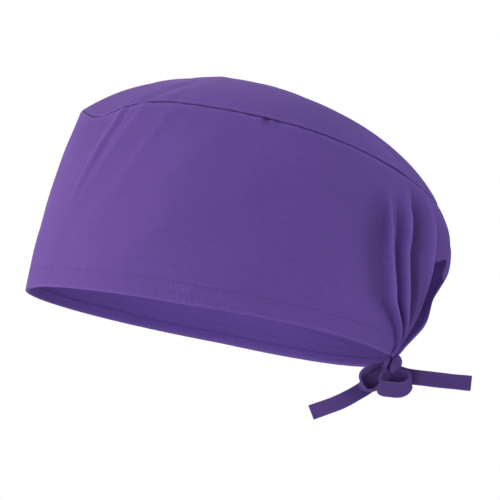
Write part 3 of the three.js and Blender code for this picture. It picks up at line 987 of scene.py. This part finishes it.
def make_tape(name, table):
    """A flat strip laid along its route: narrower at the knot, with sewn edges and a slight curl."""
    piece = add_grid(name + "_tape", TAPE_GRID["columns"], TAPE_GRID["rows"])
    flat = points(piece)
    share = flat[:, 0]
    here = along_route(table, share)
    centre = here[:, :3]
    ahead = along_route(table, np.minimum(share + ROUTE_STEP, 1))[:, :3]
    behind = along_route(table, np.maximum(share - ROUTE_STEP, 0))[:, :3]
    tangent = unit(ahead - behind)
    across = unit(np.cross(here[:, 3:], tangent))
    face = np.cross(tangent, across)
    length = route_length(table)
    from_knot = np.minimum(share, 1 - share if "loop" in name else 1) * length
    width = TAPE["width"] * (1 - SQUEEZE["share"] * (1 - smooth(from_knot / SQUEEZE["reach"])))
    offset = (flat[:, 1] - 0.5) * width
    dent = -TAPE["edge_groove"] * bell((np.abs(offset) - TAPE["edge_line"]) / TAPE["groove_width"])
    curl = CURL["size"] * np.sin(share * length * CURL["pace"] + offset * CURL["slant"])
    curl = curl + CURL["hollow"] * offset ** 2
    move_points(piece, centre + across * offset[:, None] + face * (dent + curl - CURL["sunk"])[:, None])
    weave_map(piece, share * length, offset)
    worn = TAPE_WEAR_AND_SHADE["edge"] * bell((np.abs(offset) - TAPE["width"] / 2) / TAPE_WEAR_AND_SHADE["edge_width"])
    # Painted shade darkens the tape near the knot
    mark(piece, "wear_and_painted_light", worn + TAPE_WEAR_AND_SHADE["knot"] * bell(from_knot / TAPE_WEAR_AND_SHADE["knot_reach"]))
    thicken(piece, TAPE["thickness"], offset=0)
    soften_edges(piece, ROUNDED["tape"], segments=3)
    smooth_shade(piece)
    print(name, "tape", round(float(length), 1), "mm long")
    return piece


tapes = {name: make_tape(name, table) for name, table in TIE_ROUTES.items()}

# %% [markdown]
# ## The knot
# The two tapes are pulled into a small hard knot under the hem. Its outermost turn is a strap over the
# others, so it is a sphere pulled into a barrel, with creases where the turns of tape lie side by side. Its
# top reaches into the hem, where the tapes come out.

# %% Knot
KNOT = dict(centre=(2.6, 107.2, -2.8), radii=(5.7, 5.6, 5.9), roundness=0.9, squareness=0.78, slope=0.3)
# across: where the crease crosses the knot (share of its length), slant, depth and width
KNOT_CREASES = [(-0.15, 0.15, 2.0, 0.13), (0.35, -0.16, 0.4, 0.10), (0.75, 0.12, 0.5, 0.12)]
KNOT_WAVE = dict(size=0.12, round=3, along=4)
KNOT_DEPTH = 5
KNOT_WEAVE = dict(round=4.8, along=4.4)
# bare makes the whole knot a little lighter; crease is painted shade in the knot's creases
KNOT_TONE_AND_SHADE = dict(bare=0.2, crease=-0.6)


def make_knot():
    """A sphere drawn out into a barrel of tape along the nape, with its creases."""
    deselect()
    bpy.ops.mesh.primitive_uv_sphere_add(segments=96, ring_count=64, radius=1)
    piece = bpy.context.object
    piece.name = piece.data.name = "knot_tape"
    ball = points(piece)
    x, z = (round_power(ball[:, axis], KNOT["roundness"]) for axis in (0, 1))
    y = ball[:, 2]
    barrel = np.sqrt(np.maximum(1 - np.abs(y) ** (2 / KNOT["squareness"]), 0))
    barrel = barrel / np.maximum(np.sqrt(1 - y ** 2), 1e-6)
    turn = np.arctan2(z, x)
    dent = sum(depth * bell((y - across - slant * np.sin(turn)) / width)
               for across, slant, depth, width in KNOT_CREASES)
    dent += KNOT_WAVE["size"] * np.sin(KNOT_WAVE["round"] * turn + KNOT_WAVE["along"] * y)
    pull = barrel * (1 - dent / KNOT_DEPTH)
    place = np.stack([x * pull, y, z * pull], -1) * KNOT["radii"] + KNOT["centre"]
    place[:, 2] += KNOT["slope"] * (place[:, 1] - KNOT["centre"][1])
    move_points(piece, place)
    use(piece)
    bpy.ops.object.mode_set(mode="EDIT")
    bpy.ops.mesh.select_all(action="SELECT")
    bpy.ops.mesh.normals_make_consistent(inside=False)
    bpy.ops.object.mode_set(mode="OBJECT")
    weave_map(piece, turn * KNOT_WEAVE["round"], y * KNOT_WEAVE["along"])
    # Painted shade in the knot's creases
    mark(piece, "wear_and_painted_light", KNOT_TONE_AND_SHADE["bare"] + KNOT_TONE_AND_SHADE["crease"] * dent)
    smooth_shade(piece, CRISP)
    return piece


knot_tape = make_knot()
print("knot:", len(knot_tape.data.polygons), "faces")

# %% [markdown]
# ## The cloth's finish
# The cloth is a matt plain weave of a cotton mix, dyed purple, with a faint bloom at grazing angles. The
# weave is a bump of two crossing sets of threads, at half a millimetre. The colour drifts slowly and thread
# by thread. It is a little lighter where the cloth is worn: at the rim, beside the seam and along the tapes'
# edges. The knot is a little lighter all over, and a painted highlight lightens the crests of the folds.
# Painted shade darkens the valleys of the folds, two listed hollows, the grooves of the seam and the hem,
# the tight places below the seam, the creases of the knot and the tapes near the knot. The pieces carry a
# value at each point for this: above zero it is lighter, below zero it is painted shade.

# %% Colours and weave
PURPLE = (0.156, 0.079, 0.382)
TAPE_PURPLE = (0.116, 0.059, 0.268)
THREAD_PURPLE = (0.085, 0.042, 0.21)
# The inside faces get a darker copy of the cloth colour as painted shade
INSIDE_SHADE = 0.86
CLOTH_LOOK = {
    "Roughness": 0.86,
    "Specular IOR Level": 0.25,
    "Sheen Weight": 0.22,
    "Sheen Roughness": 0.45,
    "Sheen Tint": (0.66, 0.45, 0.95, 1),
}
WEAVE = dict(pitch_cm=0.045, waver=0.5, thread_share=0.25, bump=0.5, depth=0.0001)
BAND_PITCH = math.pi / 10  # of a wave texture at scale 1
SLUB = dict(across=22.0, along=3.2)
GRAIN = dict(low=0.45, high=1.05, dark=(0.78, 0.78, 0.82, 1), light=(1.16, 1.16, 1.14, 1))
DRIFT = dict(scale=22, dark=0.9, light=1.1)
# Lighter tone for wear and for the painted highlight on crests
WEAR_AND_HIGHLIGHT = dict(share=1.25, more=0.012)
# Share of the colour for painted shade
PAINTED_SHADE_SHARE = 0.42
THREAD_LOOK = dict(roughness=0.6, scale=2500, dark=0.8, light=1.3)


def tone(colour, share, more=0):
    """A lighter or darker tone of a colour, as a node wants it."""
    return tuple(c * share + more for c in colour) + (1,)


def mix_colours(tree, factor, low, high, blend="MIX"):
    inputs = {0: factor, 6: low, 7: high}
    return add_node(tree, "Mix", inputs, data_type="RGBA", blend_type=blend).outputs[2]


def threads(tree, weave, along):
    """One set of threads of uneven thickness, along X or Y of the weave map, as a height."""
    across = "Y" if along == "X" else "X"
    scale = BAND_PITCH / WEAVE["pitch_cm"]
    wave = add_node(tree, "TexWave", {"Scale": scale, "Distortion": WEAVE["waver"], "Vector": weave},
                    wave_type="BANDS", bands_direction=across, wave_profile="SIN")
    fine, coarse = SLUB["across"], SLUB["along"]
    scale = (coarse, fine, 1) if along == "X" else (fine, coarse, 1)
    stretch = add_node(tree, "Mapping", {"Scale": scale, "Vector": weave}).outputs["Vector"]
    slub = add_node(tree, "TexNoise", {"Scale": 1, "Detail": 2, "Vector": stretch}).outputs["Fac"]
    inputs = {0: wave.outputs["Fac"], 1: WEAVE["thread_share"], 2: slub}
    return add_node(tree, "Math", inputs, operation="MULTIPLY_ADD").outputs["Value"]


print("weave:", WEAVE["pitch_cm"] * 10, "mm from thread to thread")


# %% Materials
def cloth_material(name, colour):
    """Woven cloth: the weave's bump, a slow drift of the colour, the grain of the threads, wear, painted
    highlight and painted shade.
    """
    material, tree, shader = new_material(name)
    for key, value in CLOTH_LOOK.items():
        shader.inputs[key].default_value = value
    weave = add_node(tree, "UVMap", uv_map="weave").outputs["UV"]
    warp, weft = (threads(tree, weave, along) for along in "XY")
    cross = add_node(tree, "Math", {0: warp, 1: weft}, operation="MAXIMUM").outputs["Value"]
    bump = add_node(tree, "Bump", {"Strength": WEAVE["bump"], "Distance": WEAVE["depth"], "Height": cross})
    tree.links.new(bump.outputs["Normal"], shader.inputs["Normal"])
    place = add_node(tree, "TexCoord").outputs["Object"]
    drift = add_node(tree, "TexNoise", {"Scale": DRIFT["scale"], "Detail": 3, "Vector": place}).outputs["Fac"]
    base = mix_colours(tree, drift, tone(colour, DRIFT["dark"]), tone(colour, DRIFT["light"]))
    inputs = {"From Min": GRAIN["low"], "From Max": GRAIN["high"], "Value": cross}
    grain = add_node(tree, "MapRange", inputs).outputs["Result"]
    shade = mix_colours(tree, grain, GRAIN["dark"], GRAIN["light"])
    base = mix_colours(tree, 1.0, base, shade, "MULTIPLY")
    wear_and_painted_light = add_node(tree, "Attribute", attribute_name="wear_and_painted_light").outputs["Fac"]
    # Lighter above zero: wear and painted highlight
    base = mix_colours(tree, wear_and_painted_light, base, tone(colour, WEAR_AND_HIGHLIGHT["share"], WEAR_AND_HIGHLIGHT["more"]))
    # Darker below zero: painted shade
    painted_shade = add_node(tree, "Math", {0: wear_and_painted_light, 1: -1}, operation="MULTIPLY").outputs["Value"]
    base = mix_colours(tree, painted_shade, base, tone(colour, PAINTED_SHADE_SHARE))
    tree.links.new(base, shader.inputs["Base Color"])
    return material


def thread_material():
    """Sewing thread: darker than the cloth, with the light and dark of its twist."""
    material, tree, shader = new_material("sewing thread")
    shader.inputs["Roughness"].default_value = THREAD_LOOK["roughness"]
    place = add_node(tree, "TexCoord").outputs["Object"]
    twist = add_node(tree, "TexNoise", {"Scale": THREAD_LOOK["scale"], "Vector": place}).outputs["Fac"]
    dark, light = (tone(THREAD_PURPLE, THREAD_LOOK[name]) for name in ("dark", "light"))
    tree.links.new(mix_colours(tree, twist, dark, light), shader.inputs["Base Color"])
    return material


cap_cloth = cloth_material("purple cap cloth", PURPLE)
# Painted shade: a darker copy of the cap cloth for the inside faces
shaded_inside_cloth = cloth_material("purple cap cloth, shaded inside", tuple(c * INSIDE_SHADE for c in PURPLE))
tape_cloth = cloth_material("purple tape", TAPE_PURPLE)
thread = thread_material()
for piece in (side_cloth, crown_cloth):
    piece.data.materials[0], piece.data.materials[1] = cap_cloth, shaded_inside_cloth
for piece in (knot_tape, *tapes.values()):
    piece.data.materials.append(tape_cloth)
for piece in (hem_stitches, seam_stitches):
    piece.data.materials.append(thread)
print("materials:", cap_cloth.name, tape_cloth.name, thread.name, sep=", ")

# %% [markdown]
# ## Join the frame
# Each piece rides on the one body and stands for its solid. The stitches belong to the side.

# %% Ride and replace
STANDS_FOR = {side_cloth: "side_band", crown_cloth: "crown_panel", knot_tape: "tie_knot"}
STANDS_FOR.update({tape: name for name, tape in tapes.items()})
for piece, node in STANDS_FOR.items():
    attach(piece, "root")
    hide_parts(node)
for piece in (hem_stitches, seam_stitches):
    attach(piece, "root")
